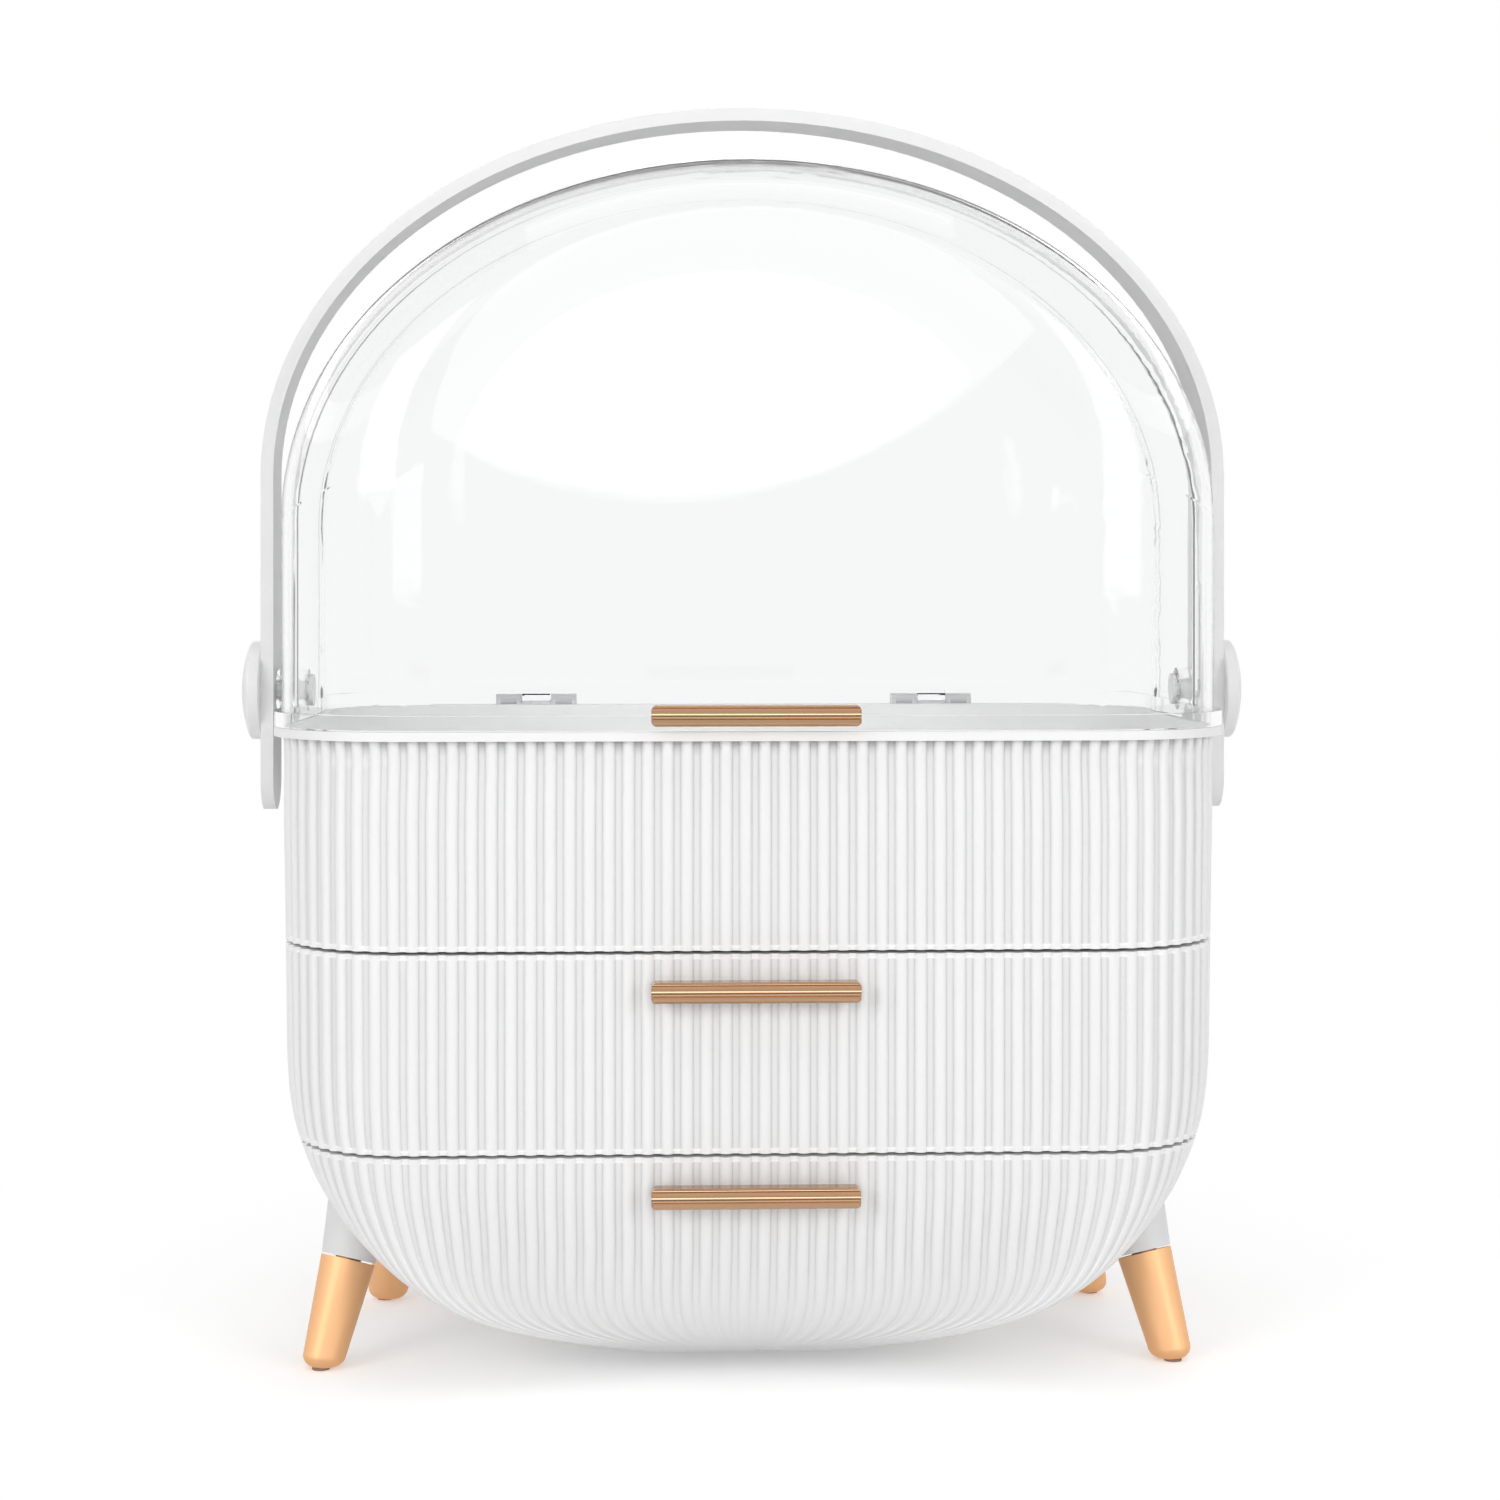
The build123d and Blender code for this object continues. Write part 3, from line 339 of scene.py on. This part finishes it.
clear_lid, tree, shader = new_material("clear_lid")
shader.inputs["Base Color"].default_value = (0.965, 0.967, 0.97, 1.0)
shader.inputs["Transmission Weight"].default_value = 1.0
shader.inputs["IOR"].default_value = CLEAR_INDEX
place = add(tree, "ShaderNodeTexCoord")
smears = add(tree, "ShaderNodeTexNoise", scale=22.0, detail=4.0, roughness=0.6)
smear_range = add(tree, "ShaderNodeMapRange", from_min=0.45, from_max=0.8)
smear_range.inputs["To Min"].default_value, smear_range.inputs["To Max"].default_value = SMEAR_ROUGHNESS
join(tree, place, "Object", smears, "Vector")
join(tree, smears, "Fac", smear_range, "Value")
join(tree, smear_range, "Result", shader, "Roughness")
print("clear", clear_lid.name)


# %% [markdown]
# ## Finishes on the solids
# Each node takes the finish of its slot in the record, so the record's list of sub-parts does the
# sorting.

# %% Finishes by slot
finishes = {
    "reeded_white": reeded_white,
    "tray_white": tray_white,
    "leg_white": leg_white,
    "handle_white": handle_white,
    "clear_lid": clear_lid,
    "pull_gold": pull_gold,
    "tip_gold": tip_gold,
    "pad_rubber": pad_rubber,
    "steel": steel,
}
slot_of = {part["node"]: part["material_slot"] for part in frame["record"]["subparts"]}
for name, node in nodes.items():
    for material_slot in node.material_slots:
        material_slot.material = finishes[slot_of[name]]
print("dressed", len(slot_of), "nodes")


# %% [markdown]
# ## The studio
# The photograph is high key: white all round, with broad soft light. The camera and the clear lid look
# at plain white. Plated metal needs something darker to mirror, or it looks flat, so mirror-like rays
# find the room dimmer in front, where the photographer stands, and overhead, with one bright strip all
# round that draws a line of light along each ridge. All other rays find an even pale light.

# %% World
AMBIENT = 0.48
ROOM_IN_FRONT = 0.5
STRIP_HEIGHT = 0.3
STRIP_HALF_WIDTH = 0.07
STRIP_LIGHT = 1.8

world = bpy.data.worlds.new("white_studio")
scene.world = world
world.use_nodes = True
tree = world.node_tree
tree.nodes.clear()
place = add(tree, "ShaderNodeTexCoord")
split = add(tree, "ShaderNodeSeparateXYZ")
front = add(tree, "ShaderNodeMapRange", from_min=-0.95, from_max=-0.2, to_min=ROOM_IN_FRONT, to_max=1.0)
overhead = add(tree, "ShaderNodeMapRange", from_min=0.3, from_max=0.8, to_min=1.0, to_max=ROOM_IN_FRONT)
mirrored = add(tree, "ShaderNodeMath", operation="MULTIPLY")
strip = add(tree, "ShaderNodeMath", operation="COMPARE")
strip.inputs[1].default_value = STRIP_HEIGHT
strip.inputs[2].default_value = STRIP_HALF_WIDTH
with_strip = add(tree, "ShaderNodeMath", operation="MULTIPLY_ADD")
with_strip.inputs[1].default_value = STRIP_LIGHT
rays = add(tree, "ShaderNodeLightPath")
seen_or_through = add(tree, "ShaderNodeMath", operation="MAXIMUM")
ambient_light = add(tree, "ShaderNodeBackground", strength=AMBIENT)
mirror_light = add(tree, "ShaderNodeBackground")
white_light = add(tree, "ShaderNodeBackground")
mirror_mix = add(tree, "ShaderNodeMixShader")
white_mix = add(tree, "ShaderNodeMixShader")
output = add(tree, "ShaderNodeOutputWorld")
ambient_light.inputs["Color"].default_value = (1.0, 1.0, 1.0, 1.0)
white_light.inputs["Color"].default_value = (1.0, 1.0, 1.0, 1.0)
join(tree, place, "Generated", split, "Vector")
join(tree, split, "Y", front, "Value")
join(tree, split, "Z", overhead, "Value")
join(tree, front, "Result", mirrored, 0)
join(tree, overhead, "Result", mirrored, 1)
join(tree, split, "Z", strip, 0)
join(tree, strip, "Value", with_strip, 0)
join(tree, mirrored, "Value", with_strip, 2)
join(tree, with_strip, "Value", mirror_light, "Color")
join(tree, rays, "Is Glossy Ray", mirror_mix, "Fac")
join(tree, ambient_light, "Background", mirror_mix, 1)
join(tree, mirror_light, "Background", mirror_mix, 2)
join(tree, rays, "Is Camera Ray", seen_or_through, 0)
join(tree, rays, "Is Transmission Ray", seen_or_through, 1)
join(tree, seen_or_through, "Value", white_mix, "Fac")
join(tree, mirror_mix, "Shader", white_mix, 1)
join(tree, white_light, "Background", white_mix, 2)
join(tree, white_mix, "Shader", output, "Surface")
print("world", world.name)


# %% [markdown]
# The floor is white too, and it still has to hold the shadow under the bowl. Near the organizer it is a
# pale surface with a little glow of its own, and further out it turns into plain white, so that it
# meets the backdrop without a line. Only rays that look at the floor see the glow: it lights nothing.

# %% Floor
FLOOR_SIZE = 6.0
SHADOW_GLOW = 0.34
SHADOW_REACH = 0.15
WHITE_REACH = 0.36

floor_mesh = bpy.data.meshes.new("floor")
bm = bmesh.new()
bmesh.ops.create_grid(bm, x_segments=8, y_segments=8, size=FLOOR_SIZE)
bm.to_mesh(floor_mesh)
bm.free()
floor = bpy.data.objects.new("floor", floor_mesh)
scene.collection.objects.link(floor)
floor_white, tree, shader = new_material("floor_white")
shader.inputs["Base Color"].default_value = (0.82, 0.82, 0.82, 1.0)
shader.inputs["Roughness"].default_value = 0.9
shader.inputs["Specular IOR Level"].default_value = 0.0
shader.inputs["Emission Color"].default_value = (1.0, 1.0, 1.0, 1.0)
rays = add(tree, "ShaderNodeLightPath")
place = add(tree, "ShaderNodeTexCoord")
away = add(tree, "ShaderNodeVectorMath", operation="LENGTH")
fade = add(tree, "ShaderNodeMapRange", interpolation_type="SMOOTHSTEP")
fade.inputs["From Min"].default_value = SHADOW_REACH
fade.inputs["From Max"].default_value = WHITE_REACH
camera_or_glossy = add(tree, "ShaderNodeMath", operation="MAXIMUM")
seen = add(tree, "ShaderNodeMath", operation="MAXIMUM")
glow = add(tree, "ShaderNodeMath", operation="MULTIPLY")
fade_seen = add(tree, "ShaderNodeMath", operation="MULTIPLY")
white = add(tree, "ShaderNodeEmission")
blend = add(tree, "ShaderNodeMixShader")
output = tree.nodes["Material Output"]
glow.inputs[1].default_value = SHADOW_GLOW
join(tree, place, "Object", away, 0)
join(tree, away, "Value", fade, "Value")
join(tree, rays, "Is Camera Ray", camera_or_glossy, 0)
join(tree, rays, "Is Glossy Ray", camera_or_glossy, 1)
join(tree, camera_or_glossy, "Value", seen, 0)
join(tree, rays, "Is Transmission Ray", seen, 1)
join(tree, seen, "Value", glow, 0)
join(tree, glow, "Value", shader, "Emission Strength")
join(tree, seen, "Value", fade_seen, 0)
join(tree, fade, "Result", fade_seen, 1)
join(tree, fade_seen, "Value", blend, "Fac")
join(tree, shader, "BSDF", blend, 1)
join(tree, white, "Emission", blend, 2)
join(tree, blend, "Shader", output, "Surface")
floor_mesh.materials.append(floor_white)
print("floor", floor.name)


# %% [markdown]
# Two soft boxes stand left and right of the camera, so that each reed is lit from both sides. A wide
# box hangs overhead, and a disc behind the camera leaves its round reflection on the lid. One more box
# keeps the back from going grey. The lid would show it as a square, so it is hidden from such rays.

# %% Lamps
BODY_MIDDLE = (0.0, 0.0, 0.15)
BODY_LOW = (0.0, 0.0, 0.1)
BODY_HIGH = (0.0, 0.0, 0.2)


def soft_lamp(name, place, target, size, power):
    """A square soft box at one place, turned to a target."""
    lamp = bpy.data.objects.new(name, bpy.data.lights.new(name, "AREA"))
    lamp.data.shape = "SQUARE"
    lamp.data.size = size
    lamp.data.energy = power
    lamp.location = place
    lamp.rotation_euler = (Vector(target) - Vector(place)).to_track_quat("-Z", "Y").to_euler()
    scene.collection.objects.link(lamp)
    return lamp


soft_lamp("front_left_box", (-1.35, -1.6, 0.8), BODY_MIDDLE, size=1.0, power=11.8)
soft_lamp("front_right_box", (1.35, -1.6, 0.7), BODY_MIDDLE, size=1.0, power=9.4)
soft_lamp("overhead_box", (0.0, -0.2, 1.6), BODY_LOW, size=1.4, power=6.0)
rear_box = soft_lamp("rear_box", (0.5, 1.8, 0.9), BODY_MIDDLE, size=1.2, power=6.0)
rear_box.visible_transmission = False
rear_box.visible_glossy = False
front_disc = soft_lamp("front_disc", (0.0, -1.9, 0.75), BODY_HIGH, size=0.9, power=4.2)
front_disc.data.shape = "DISK"
print("lamps", [lamp.name for lamp in bpy.data.lights])
